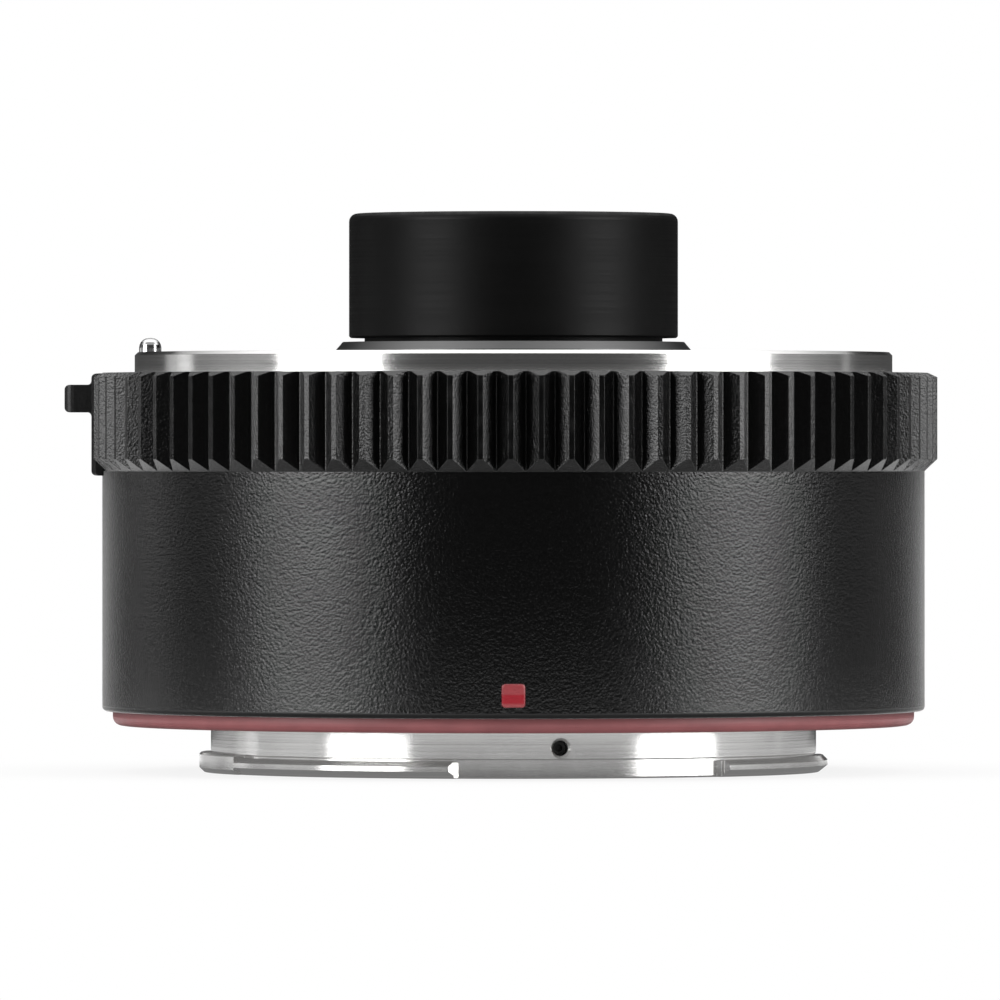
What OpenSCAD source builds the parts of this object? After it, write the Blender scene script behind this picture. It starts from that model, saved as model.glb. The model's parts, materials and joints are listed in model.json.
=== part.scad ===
// Camera teleconverter, standing on its camera-side bayonet. All sizes in millimetres.
// Z runs along the optical axis towards the lens, with zero at the end face of the bayonet.
// Angles are taken about Z from the side with the index bead (-Y), growing towards +X.

/* [Bayonet] */
// Diameter over the bayonet tabs, from which the other diameters follow
tab_d = 54.8; // [54.4:0.05:55]
// How far the tabs stand out of the root
tab_reach = 1; // [0.9:0.05:1.1]
// Wall of the bayonet between root and bore
bayonet_wall = 2.4; // [2.2:0.05:2.6]
// Height from the end face to the seat on the camera
bayonet_h = 4.05; // [3.9:0.05:4.3]
// Height of the tabs
tab_h = 1.45; // [1.2:0.05:1.5]
// Height of the stop block
stop_h = 1.7; // [1.65:0.05:1.9]
// Turn that locks the bayonet, in degrees
lock_turn = 50; // [45:1:55]

/* [Front mount] */
// Width of the part of the lens-side mount that stands in the chassis
spigot_w = 3.4; // [3.2:0.05:3.8]
// How far its flange reaches over the grip ring
flange_reach = 2.05; // [1.8:0.05:2.3]
// Thickness of its flange
front_flange_t = 1.8; // [1.4:0.05:2]
// Thickness of the lugs that hold the lens
lug_t = 2.4; // [2.2:0.05:2.5]

/* [Body] */
// How far the grained barrel stands outside the lens-side mount
barrel_step = 2.82; // [2.6:0.02:3.2]
// Wall of the barrel
barrel_wall = 1.5; // [1.3:0.05:1.7]
// Height of the barrel between accent ring and grip ring
barrel_h = 20.9; // [20:0.1:24]
// Rounding of the barrel's lower edge
barrel_round = 0.4; // [0.1:0.05:0.6]
// How far the accent ring stands back from the barrel
accent_step = 0.92; // [0.6:0.02:1.2]
// Width of the accent ring around the rear flange
accent_w = 1.95; // [1.7:0.05:2.2]
// Height of the accent ring, the same as the thickness of the rear flange
accent_h = 1.25; // [1.1:0.05:1.6]
// Rounding of the accent ring's lower edge
accent_round = 0.75; // [0.2:0.05:0.8]
// Side of the square index bead
bead_side = 2; // [1.5:0.1:3]
// Height of the bead's middle above the barrel's lower edge
bead_rise = 1.97; // [1.8:0.01:6]

/* [Grip ring] */
// How far the ribs stand out of the barrel
grip_proud = 1.1; // [0.9:0.05:1.6]
// Height of the grip ring
grip_h = 8.55; // [8.2:0.05:10]
// Number of ribs
grip_ribs = 90; // [60:1:120]
// Turn of the first rib from the index bead, in degrees
rib_turn = 3.66; // [0:0.01:4.2]
// Depth of the V grooves between ribs
rib_depth = 1.05; // [0.6:0.05:1.1]
// Width of the flat top of each rib
rib_land = 0.45; // [0.2:0.05:0.8]
// Height of the chamfer under the ribs
grip_chamfer_h = 1.1; // [0.6:0.05:1.6]
// Height of the slope over the ribs
grip_slope_h = 0.4; // [0.2:0.05:0.8]
// Width of the slope over the ribs
grip_slope_w = 0.8; // [0.4:0.05:1]

/* [Nose] */
// Wall of the snout around the front cell
snout_wall = 1.35; // [1.2:0.05:1.7]
// Height of the snout's top above the lens-side face
snout_rise = 12.1; // [12:0.05:13]
// Gap between the lens-side face and the snout's lower edge
snout_gap = 1.25; // [1.15:0.05:1.5]
// Rounding of the snout's top edge
snout_round = 0.7; // [0.3:0.05:0.9]
// Width of the collar around the front cell
collar_w = 2.5; // [2.2:0.05:2.8]
// Height of the collar's top above the lens-side face
collar_rise = 0.9; // [0.8:0.05:1]

/* [Release] */
// Diameter of the lock pin
pin_d = 1.95; // [1.8:0.05:2.05]
// How far the lock pin stands out of the face
pin_rise = 1.25; // [1.2:0.05:1.5]
// Distance of the lock pin's middle from the edge of the lens-side mount
pin_inset = 1.35; // [1.25:0.05:1.5]
// Travel of the release slider
release_travel = 1.6; // [1.5:0.05:1.7]
// How far the knob stands out of the slider's plate
knob_out = 2.34; // [1.8:0.01:3]
// Height of the knob
knob_h = 2.4; // [2:0.02:2.8]
// Half the angle that the knob spans
knob_half = 5.5; // [5:0.5:8.5]
// Half the angle that the slider's plate spans
plate_half = 9.4; // [9:0.1:10]

/* [Contacts] */
// Distance of the contacts from the bayonet's bore
contact_inset = 2.1; // [2:0.05:2.2]
// Angle between two contacts
contact_pitch = 5.4; // [5:0.1:5.5]
// Diameter of a contact pin
contact_d = 1; // [0.9:0.05:1.1]
// Travel of a contact pin
contact_travel = 0.8; // [0.6:0.05:0.85]

/* [Optics] */
// Wall of the chassis tube around the front cell
tube_wall = 3.8; // [3.6:0.05:4]
// Wall of the front cell around the middle glass
cell_wall = 2; // [1.9:0.05:2.2]
// Difference of the middle and the front glass in radius
glass_step = 1; // [0.9:0.05:1.2]
// Wall of the rear cell around the rear glass
rear_cell_wall = 1.65; // [1.5:0.05:1.8]

/* [Fits] */
// Clearance of fixed pieces that locate each other
slip = 0.1; // [0.05:0.01:0.12]
// Running clearance of pins and screws
run = 0.05; // [0.03:0.01:0.06]
// Clearance between pieces that move past each other
free = 0.3; // [0.25:0.05:0.35]
// Thickness of the cement between glasses
cement = 0.02; // [0.01:0.01:0.03]

/* [Hidden] */
$fn = 96;
fine = 240;
quarter = 90;
full_turn = 4 * quarter;
release_angle = -quarter;
contact_angle = 2 * quarter;
contact_count = 11;
edge = 0.15;
face_chamfer = 0.28;
rib_floor = 0.08;
overlap = 0.4;
recess = 0.05;
past = 1;

// Levels, from the camera side up
seat_z = bayonet_h;
accent_top = seat_z + accent_h;
barrel_top = accent_top + barrel_h;
grip_top = barrel_top + grip_h;
face_z = grip_top + front_flange_t;
snout_z = face_z + snout_gap;
snout_top = face_z + snout_rise;
lug_z = face_z - lug_t;

// Radii of the bayonet and of what stands around it
tab_r = tab_d / 2;
root_r = tab_r - tab_reach;
rear_bore = root_r - bayonet_wall;
front_throat = tab_r + slip + slip;
lug_r = root_r + slip + slip;
spigot_r = front_throat + spigot_w;
front_r = spigot_r + flange_reach;
lip_in = spigot_r + slip;
barrel_r = front_r + barrel_step;
barrel_in = barrel_r - barrel_wall;
grip_r = barrel_r + grip_proud;
accent_r = barrel_r - accent_step;
rear_flange_r = accent_r - accent_w;
pin_r = front_r - pin_inset;

// Radii of what stands inside it: contacts, chassis tube, cells and glass
contact_r = rear_bore - contact_inset;
block_w = 3.6;
block_in = contact_r - block_w / 2;
block_out = contact_r + block_w / 2;
tube_gap = 1.3;
tube_r = block_in - tube_gap;
cell_tube_r = tube_r - tube_wall;
middle_glass_r = cell_tube_r - cell_wall;
front_glass_r = middle_glass_r - glass_step;
rear_cell_r = tube_r - rear_cell_wall;
rear_glass_r = rear_cell_r - rear_cell_wall;
neck_wall = 1;
neck_r = front_glass_r + neck_wall;
snout_r = neck_r + snout_wall;
collar_r = neck_r + collar_w;
hub_step = 0.8;
hub_r = tube_r + hub_step;
cell_flange_gap = 0.4;
cell_flange_r = tube_r - cell_flange_gap;

// Chassis: a spool with a base, a tube and a deck
chassis_r = barrel_in - slip;
base_t = 2;
base_top = accent_top + base_t;
baffle_t = 0.5;
floor_room = 0.35;
floor_z = face_z - bayonet_h - floor_room;
deck_z = floor_z - baffle_t;
deck_t = 2.5;
deck_under = deck_z - deck_t;
lip_t = 1.1;
rim_top = grip_top - lip_t;
tongue_h = 1;
tongue_t = 0.6;
tube_step = 8.2;
tube_step_z = accent_top + tube_step;
boss_r = 2;
boss_h = 1.7;
post_r = 1.5;

// Rear bayonet
tab_from = [-62, 42, 133];
tab_to = [-11, 97, 187];
stop_from = -100;
tab_low_h = 0.6;
tab_low_w = 0.75;
tab_high = 0.4;
tab_bevel = 0.5;
tab_fillet = 0.45;
groove_step = 0.1;
relief_w = 1.6;
relief_t = 0.2;
lock_depth = 0.5;
rebate_w = 0.3;
rebate_t = 0.55;

// Front mount
lug_play = 1.2;
lug_most = 50.6;
leaf_t = 0.15;

// Screws: [head radius, head height, shank radius, length]
head_big = 1.6;
head_small = 1.15;
head_cell = 1.1;
head_big_h = 0.8;
head_small_h = 0.45;
head_cell_h = 0.5;
cap_h = 0.7;
shank_big = 0.95;
shank_small = 0.65;
mount_screw_l = 7.1;
rear_screw_l = 4.55;
small_screw_l = 2.8;
cell_screw_l = 4;
mount_screw = [head_big, head_big_h, shank_big, mount_screw_l];
rear_screw = [head_big, head_big_h, shank_big, rear_screw_l];
small_screw = [head_small, head_small_h, shank_small, small_screw_l];
cell_screw = [head_cell, head_cell_h, shank_small, cell_screw_l];
mount_screw_inset = 1.25;
rear_screw_inset = 2.7;
mount_screw_r = spigot_r - mount_screw_inset;
rear_screw_r = rear_flange_r - rear_screw_inset;
mount_screw_at = [45, 135, 225, 315];
cell_screw_step = 1.7;
cell_screw_r = cell_tube_r + cell_screw_step;
cell_screw_at = [60, 180, 300];
baffle_screw_step = 1.6;
baffle_screw_r = contact_r + baffle_screw_step;
baffle_screw_at = [0, 75, 285];
deck_bite = 1.7;
base_bite = 0.9;

// Rear baffle and its grub screws
skirt_gap = 0.2;
skirt_t = 1.2;
skirt_out = rear_bore - skirt_gap;
skirt_in = skirt_out - skirt_t;
disc_low = 1.2;
disc_t = 1;
light_x = rear_bore * 4 / 3;
light_y = light_x * 11 / 16;
light_round = 3;
grub_at = [8.8, 128.8, 248.8];
grub_rise = 1.45;
grub_z = seat_z - grub_rise;
grub_r = 0.6;
grub_bite = 0.9;
grub_sunk = 1.2;
grub_from = skirt_out - grub_bite;
grub_to = root_r - grub_sunk;
grub_bore = grub_r + run;
grub_sink = 0.875;
grub_sink_t = 0.25;
key_r = 0.32;
key_t = 0.6;

// Nose
collar_top = face_z + collar_rise;
collar_sunk = 1.3;
collar_low = face_z - collar_sunk;
collar_edge = 0.2;
collar_step = face_z + collar_edge;
collar_bevel = 0.6;
collar_top_r = collar_r - collar_bevel;
hub_wall = 1;
hub_rise = 1.1;
hub_shoulder = floor_z + hub_rise;
cell_flange_t = 1.2;
mouth_bevel = 0.6;
lip_depth = 0.75;
ring_depth = 1.2;
bore_step = 1.1;
nose_step = 0.35;

// Optics, from the front: depths of the curved faces at their rims, their radii and thicknesses
function curve(depth, r) = (r * r + depth * depth) / (2 * depth);
function sag(curve, r) = curve - sqrt(curve * curve - r * r);
function rim(top, curve, r) = top - sag(curve, r);
seat_gap = 0.03;
depth_1_front = 1.84;
depth_1_rear = 1.63;
depth_2_rear = 1.21;
depth_3_front = 2.29;
depth_3_rear = 1.22;
depth_4_front = 2.76;
depth_4_rear = 2.06;
depth_5_rear = 0.94;
depth_6_front = 2.04;
depth_6_rear = 1.52;
depth_7_front = 2.23;
depth_7_rear = 1.74;
c1_front = curve(depth_1_front, front_glass_r);
c1_rear = curve(depth_1_rear, front_glass_r);
c2_rear = curve(depth_2_rear, front_glass_r);
c3_front = curve(depth_3_front, middle_glass_r);
c3_rear = curve(depth_3_rear, middle_glass_r);
c4_front = curve(depth_4_front, middle_glass_r);
c4_rear = curve(depth_4_rear, middle_glass_r);
c5_rear = curve(depth_5_rear, middle_glass_r);
c6_front = curve(depth_6_front, rear_glass_r);
c6_rear = curve(depth_6_rear, rear_glass_r);
c7_front = curve(depth_7_front, rear_glass_r);
c7_rear = curve(depth_7_rear, rear_glass_r);
edge_1 = 1.2;
mid_2 = 1.2;
mid_3 = 1.3;
edge_4 = 1;
mid_5 = 1;
mid_6 = 1.4;
edge_7 = 0.9;
mouth_depth = 1.8;
top_1 = snout_top - mouth_depth;
rim_1 = rim(top_1, c1_front, front_glass_r);
low_1 = rim_1 - edge_1;
join_12 = low_1 - sag(c1_rear, front_glass_r);
low_2 = join_12 - cement - mid_2;
seat_2 = rim(low_2, c2_rear, front_glass_r);
seat_3_depth = 1.4;
seat_3 = deck_z - seat_3_depth;
top_3 = seat_3 - seat_gap - sag(c3_front, middle_glass_r);
low_3 = top_3 - mid_3;
rim_3 = rim(low_3, c3_rear, middle_glass_r);
air_34 = 1.4;
top_4 = low_3 - air_34;
rim_4 = rim(top_4, c4_front, middle_glass_r) - edge_4;
join_45 = rim_4 - sag(c4_rear, middle_glass_r);
low_5 = join_45 - cement - mid_5;
rim_5 = rim(low_5, c5_rear, middle_glass_r);
ring_h = 0.9;
cell_tail = 0.4;
cell_low = rim_5 - seat_gap - ring_h - cell_tail;
seat_6_depth = 1.1;
seat_6 = tube_step_z - seat_6_depth;
top_6 = seat_6 - seat_gap - sag(c6_front, rear_glass_r);
low_6 = top_6 - mid_6;
rim_6 = rim(low_6, c6_rear, rear_glass_r);
air_67 = 0.7;
top_7 = low_6 - air_67;
rim_7 = rim(top_7, c7_front, rear_glass_r) - edge_7;
low_7 = rim_7 - sag(c7_rear, rear_glass_r);
spacer_w = 0.8;
ring_w = 1;
spanner_w = 1.2;
spanner_depth = 0.5;
spanner_at = [45, 225];
rear_ring_w = 1.3;
rear_cell_tail = 0.33;
rear_cell_low = low_7 - rear_cell_tail;

// Release
lock_pin_r = pin_d / 2;
carriage_back = 1.4;
carriage_reach = 1.8;
carriage_in = pin_r - carriage_back;
carriage_out = pin_r + carriage_reach;
carriage_half = 3.1;
carriage_drop = 2.9;
carriage_low = deck_under - carriage_drop;
carriage_top = deck_z - slip;
pin_seat = 0.6;
pin_low = carriage_low + pin_seat;
pin_clear = lock_pin_r + free;
notch_half = carriage_half + free + 2 * slip;
notch_in = carriage_in - overlap;
plate_in = barrel_r + free - slip;
plate_inset = 0.15;
plate_out = grip_r - plate_inset;
plate_drop = 0.4;
plate_low = barrel_top - plate_drop;
plate_sunk = 0.06;
plate_bite = 0.25;
plate_top = grip_top - plate_sunk;
plate_round = 0.4;
knob_drop = 0.98;
knob_low = plate_top - knob_drop - knob_h;
knob_reach = plate_out + knob_out;
knob_round = 0.42;
knob_end = 0.9;
knob_fillet = 0.35;
pin_round = 0.86;
stem_half = 2.6;
stem_h = 1.7;
stem_top = deck_z - overlap;
stem_low = stem_top - stem_h;
window_play = 0.5;
window_lip = 0.7;
window_top = grip_top - window_lip;
window_half = plate_half + window_play;
release_screw_v = 1.75;
release_screw_r = 0.6;
release_head_r = 0.95;
release_head_t = 0.6;
release_bite = 2;
release_screw_end = carriage_out + release_bite;
release_screw_z = (stem_low + stem_top) / 2;
bracket_back = 1.7;
bracket_reach = 1.3;
bracket_in = pin_r - bracket_back;
bracket_out = pin_r + bracket_reach;
bracket_t = 0.8;
bracket_leg = 4;
bracket_wing = 8;
bracket_drop = 12.3;
bracket_low = deck_under - bracket_drop;
bracket_screw_v = 6.2;
bracket_screw_u = (bracket_in + bracket_out) / 2;
shelf_top = bracket_low + bracket_t;
guide_r = 0.9;
guide_h = 2;
coil_r = 1.5;
wire_r = 0.22;
coil_turns = 7;

// Contacts
block_margin = 4.4;
block_half = contact_pitch * (contact_count - 1) / 2 + block_margin;
block_play = 0.6;
block_top = floor_z + slip;
wing_margin = 6.1;
wing_half = block_half + wing_margin;
wing_gap = 0.5;
wing_w = 3;
wing_in = tube_r + wing_gap;
wing_out = contact_r + wing_w;
wing_t = 2.5;
block_low = deck_under - wing_t;
block_screw_turn = 3.2;
block_screw_at = block_half + block_screw_turn;
rear_screw_turn = 3.4;
rear_block_screw_at = block_half - rear_screw_turn;
rear_block_low = 0.25;
pad_low = 0.08;
pad_space = 1.6;
pad_half = (contact_pitch - pad_space) / 2;
pad_w = 1.8;
tip_r = contact_d / 2;
tip_top = block_top + contact_travel + edge;
tip_l = 1.8;
tip_shoulder = block_top - tip_l;
head_r = 0.75;
head_h = 0.8;
head_low = tip_shoulder - head_h;
well_r = head_r + slip;
pin_coil_r = 0.55;
pin_wire_r = 0.09;
pin_coil_turns = 4;
flex_t = 0.4;
tail_t = 0.3;
tail_half = 6;
tail_inset = 0.6;
slot_w = 1;
tail_play = 1;
flex_margin = 1.4;

// Board, and its chips: [angle, distance from the board's middle, side, height]
board_z = base_top + boss_h;
board_t = 1;
board_gap = 1.7;
board_in = tube_r + board_gap;
board_rim = 1.77;
board_out = chassis_r - board_rim;
board_mid = (board_in + board_out) / 2;
board_from = 60;
board_to = 300;
board_screw_at = [80, 140, 220];
board_screw_inset = 2;
board_screw_r = board_in + board_screw_inset;
chip = 1;
chips = [
    [115, chip / 2, 7 * chip, chip], [150, 1.5 * chip, 4 * chip, 1.2 * chip],
    [245, chip / 2, 4.4 * chip, 0.9 * chip], [195, 2 * chip, 3 * chip, 1.6 * chip],
    [205, -2 * chip, 3 * chip, 1.6 * chip]
];

pin_names = [for (i = [1 : contact_count]) str("contact_pin_", i)];
lens_names = [for (i = [1 : 7]) str("lens_", i)];

// Shared shapes

// Part of a turned profile, between two angles
module turned(from, to) {
    rotate([0, 0, from - quarter])
        rotate_extrude(angle = to - from)
            children();
}

// Ring sector with a square section
module sector(from, to, inner, outer, low, high) {
    turned(from, to)
        translate([inner, low])
            square([outer - inner, high - low]);
}

module ring(inner, outer, low, high) {
    rotate_extrude()
        translate([inner, low])
            square([outer - inner, high - low]);
}

// Local X points outwards at the given angle
module at_angle(angle, radius = 0) {
    rotate([0, 0, angle - quarter])
        translate([radius, 0, 0])
            children();
}

module block(from, to) {
    translate(from)
        cube(to - from);
}

module rod(radius, low, high, facets = $fn) {
    translate([0, 0, low])
        cylinder(r = radius, h = high - low, $fn = facets);
}

// Points of a rounded corner
function corner(middle, radius, from, to, steps = 5) =
    [for (i = [0 : steps]) middle + radius * [cos(from + (to - from) * i / steps),
                                              sin(from + (to - from) * i / steps)]];

// Countersunk screw pointing down, its head's top at zero
module screw(size) {
    difference() {
        union() {
            translate([0, 0, -size[1]])
                cylinder(r1 = size[2], r2 = size[0], h = size[1]);
            rod(size[2], -size[3], -size[1] / 2);
        }
        for (a = [0, quarter])
            rotate([0, 0, a])
                cross_arm(size);
    }
}

module cross_arm(size) {
    arm = size[0] * 0.6;
    thick = size[0] * 0.16;
    depth = size[1] * 0.7;
    block([-arm, -thick, -depth], [arm, thick, depth]);
}

// The hole that takes such a screw, with its running clearance
module screw_hole(size) {
    translate([0, 0, -size[1] - run])
        cylinder(r1 = size[2] + run, r2 = size[0] + run, h = size[1] + run);
    rod(size[0] + run, -recess / 5, slip + recess);
    rod(size[2] + run, -size[3] - slip, -size[1] / 2);
}

// Round wire wound about Z, its ends at the given levels
module coil(radius, wire, low, high, turns, steps, sides) {
    count = turns * steps;
    rise = (high - low - 2 * wire) / count;
    points = [for (i = [0 : count], j = [0 : sides - 1])
        let (a = full_turn * i / steps, b = full_turn * j / sides, r = radius + wire * cos(b))
        [r * cos(a), r * sin(a), low + wire + rise * i + wire * sin(b)]];
    skin = [for (i = [0 : count - 1], j = [0 : sides - 1])
        let (p = i * sides + j, q = i * sides + (j + 1) % sides)
        for (f = [[p, p + sides, q + sides], [p, q + sides, q]]) f];
    start = [[for (j = [0 : sides - 1]) j]];
    end = [[for (j = [sides - 1 : -1 : 0]) count * sides + j]];
    polyhedron(points = points, faces = concat(skin, start, end));
}

// Glass with two bulging faces, and with two hollow faces; top and low are on the axis
module bulging(radius, top, curve_top, low, curve_low) {
    intersection() {
        rod(radius, low, top);
        translate([0, 0, top - curve_top])
            sphere(r = curve_top, $fn = fine);
        translate([0, 0, low + curve_low])
            sphere(r = curve_low, $fn = fine);
    }
}

module hollow(radius, top, curve_top, low, curve_low) {
    difference() {
        rod(radius, rim(low, curve_low, radius), top + sag(curve_top, radius));
        translate([0, 0, top + curve_top])
            sphere(r = curve_top, $fn = fine);
        translate([0, 0, low - curve_low])
            sphere(r = curve_low, $fn = fine);
    }
}

// Camera side

module tab_profile() {
    polygon([
        [root_r - overlap, 0], [tab_r - tab_low_w, 0], [tab_r, tab_low_h],
        [tab_r, tab_h - tab_high], [tab_r - tab_high, tab_h], [root_r - overlap, tab_h]
    ]);
}

module rear_mount() {
    color("silver")
        difference() {
            union() {
                rotate_extrude()
                    polygon([
                        [rear_bore, edge], [rear_bore + edge, 0], [root_r - groove_step - edge, 0],
                        [root_r - groove_step, edge], [root_r - groove_step, stop_h - groove_step],
                        [root_r, stop_h], [root_r, seat_z + relief_t],
                        [root_r + relief_w, seat_z + relief_t], [root_r + relief_w, seat_z],
                        [rear_flange_r, seat_z], [rear_flange_r, accent_top - rebate_t - run],
                        [rear_flange_r - rebate_w, accent_top - rebate_t - run],
                        [rear_flange_r - rebate_w, accent_top], [rear_bore, accent_top]
                    ]);
                for (i = [0 : len(tab_from) - 1])
                    turned(tab_from[i], tab_to[i])
                        tab_profile();
                for (a = [tab_to[0], tab_from[1], tab_to[1], tab_from[2], tab_to[2], stop_from])
                    at_angle(a, root_r)
                        rotate([0, 0, quarter / 2])
                            translate([0, 0, tab_h / 2])
                                cube([tab_fillet, tab_fillet, tab_h - edge], center = true);
                turned(stop_from, tab_from[0])
                    polygon([
                        [root_r - overlap, 0], [tab_r - tab_high, 0], [tab_r, tab_high],
                        [tab_r, stop_h - edge], [tab_r - edge, stop_h], [root_r - overlap, stop_h]
                    ]);
            }
            for (a = [tab_to[0], tab_from[1], tab_to[1], tab_from[2], tab_to[2], stop_from])
                at_angle(a, tab_r)
                    rotate([0, 0, quarter / 2])
                        translate([0, 0, stop_h / 2])
                            cube([tab_bevel, tab_bevel, stop_h + slip], center = true);
            for (a = mount_screw_at)
                at_angle(a, rear_screw_r)
                    translate([0, 0, seat_z + recess])
                        mirror([0, 0, 1])
                            screw_hole(rear_screw);
            for (a = grub_at)
                at_angle(a)
                    translate([0, 0, grub_z])
                        rotate([0, quarter, 0])
                            grub_hole();
            at_angle(release_angle, pin_r)
                rod(lock_pin_r + slip - run / 2, seat_z - slip, accent_top + slip);
        }
}

module grub_hole() {
    rod(grub_bore, grub_from - past, tab_r + past);
    translate([0, 0, root_r - grub_sink_t])
        cylinder(r1 = grub_bore, r2 = grub_sink, h = grub_sink_t);
    rod(grub_sink, root_r - run / 5, tab_r + past);
}

module rear_mount_screws() {
    color("gainsboro")
        for (a = mount_screw_at)
            at_angle(a, rear_screw_r)
                translate([0, 0, seat_z + recess])
                    mirror([0, 0, 1])
                        screw(rear_screw);
}

module rear_baffle() {
    disc_top = disc_low + disc_t;
    cut_half = block_half + block_play + 2 * slip;
    color("dimgray")
        difference() {
            union() {
                rod(skirt_out, disc_low, disc_top);
                ring(skirt_in, skirt_out, disc_top - edge, accent_top);
            }
            translate([0, 0, disc_low - slip])
                linear_extrude(height = disc_top - disc_low + 2 * slip)
                    polygon(rounded_points(light_x, light_y, light_round));
            sector(contact_angle - cut_half, contact_angle + cut_half, block_in - slip, rear_bore + slip, 0,
                accent_top + slip);
            for (a = grub_at)
                at_angle(a)
                    translate([0, 0, grub_z])
                        rotate([0, quarter, 0])
                            rod(grub_bore, skirt_in - slip, rear_bore);
        }
}

function rounded_points(x, y, r) = concat(
    corner([x / 2 - r, y / 2 - r], r, 0, quarter),
    corner([r - x / 2, y / 2 - r], r, quarter, 2 * quarter),
    corner([r - x / 2, r - y / 2], r, 2 * quarter, 3 * quarter),
    corner([x / 2 - r, r - y / 2], r, 3 * quarter, full_turn));

module baffle_grub_screws() {
    color("black")
        for (a = grub_at)
            at_angle(a)
                translate([0, 0, grub_z])
                    rotate([0, quarter, 0])
                        difference() {
                            rod(grub_r, grub_from, grub_to);
                            translate([0, 0, grub_to - key_t])
                                cylinder(r = key_r, h = key_t + slip, $fn = 6);
                        }
}

module rear_contact_block() {
    color("dimgray")
        difference() {
            sector(contact_angle - block_half, contact_angle + block_half, block_in, skirt_out,
                rear_block_low, accent_top);
            for (s = [-1, 1])
                at_angle(contact_angle + s * rear_block_screw_at, contact_r)
                    rod(small_screw[2] + run, accent_top - deck_bite - 3 * slip, accent_top + slip);
        }
}

module rear_contact_pads() {
    color("gold")
        for (i = [1 : contact_count])
            sector(contact_at(i) - pad_half, contact_at(i) + pad_half, contact_r - pad_w / 2,
                contact_r + pad_w / 2, pad_low, rear_block_low);
}

function contact_at(i) = contact_angle + (i - (contact_count + 1) / 2) * contact_pitch;

// Body

module accent_ring() {
    inner = rear_flange_r + run;
    outer = accent_r;
    lip_in_r = rear_flange_r - rebate_w + run;
    color("firebrick")
        rotate_extrude()
            polygon(concat(
                [[inner, seat_z]],
                corner([outer - accent_round, seat_z + accent_round], accent_round, -90, 0),
                [[outer, accent_top], [lip_in_r, accent_top], [lip_in_r, accent_top - rebate_t],
                 [inner, accent_top - rebate_t]]));
}

module barrel() {
    color("darkslategray")
        difference() {
            rotate_extrude()
                polygon(concat(
                    [[barrel_in, accent_top]],
                    corner([barrel_r - barrel_round, accent_top + barrel_round], barrel_round, -90, 0),
                    [[barrel_r, barrel_top], [barrel_in + tongue_t, barrel_top],
                     [barrel_in + tongue_t, barrel_top + tongue_h], [barrel_in, barrel_top + tongue_h]]));
            bead_shape(bead_side + run, barrel_r + past);
        }
}

module bead_shape(side, outer) {
    bead_in = barrel_r - 0.7;
    bead_round = 0.3;
    translate([0, -bead_in, accent_top + bead_rise])
        rotate([quarter, 0, 0])
            linear_extrude(height = outer - bead_in)
                polygon(rounded_points(side, side, bead_round));
}

module index_bead() {
    proud = 0.14;
    color("crimson")
        intersection() {
            bead_shape(bead_side, barrel_r + past);
            rod(barrel_r + proud, accent_top, barrel_top, fine);
        }
}

module grip_outline() {
    pitch = full_turn / grip_ribs;
    outer = grip_r;
    root = outer - rib_depth;
    land = asin(rib_land / 2 / outer);
    gap = pitch / 2 - asin(rib_floor / 2 / root);
    first = rib_turn - quarter;
    rib = [[-land, outer], [land, outer], [gap, root], [pitch - gap, root]];
    polygon([for (i = [0 : grip_ribs - 1], p = rib)
        p[1] * [cos(first + i * pitch + p[0]), sin(first + i * pitch + p[0])]]);
}

module grip_ring() {
    outer = grip_r + edge / 3;
    bore = barrel_in + slip;
    rabbet = barrel_in + tongue_t + run;
    color("black")
        difference() {
            intersection() {
                translate([0, 0, barrel_top])
                    linear_extrude(height = grip_h)
                        grip_outline();
                rotate_extrude()
                    polygon([
                        [lip_in, rim_top], [bore, rim_top], [bore, barrel_top + tongue_h + run],
                        [rabbet, barrel_top + tongue_h + run], [rabbet, barrel_top], [barrel_r, barrel_top],
                        [outer, barrel_top + grip_chamfer_h], [outer, grip_top - grip_slope_h],
                        [grip_r - grip_slope_w, grip_top], [lip_in, grip_top]
                    ]);
            }
            sector(release_angle - window_half, release_angle + window_half, bore - slip, outer + past,
                barrel_top - slip, window_top);
            sector(release_angle - window_half, release_angle + window_half, plate_in - free, outer + past,
                barrel_top - slip, grip_top + slip);
            at_angle(release_angle, pin_r)
                rod(pin_clear, rim_top - slip, grip_top + slip);
        }
}

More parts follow.
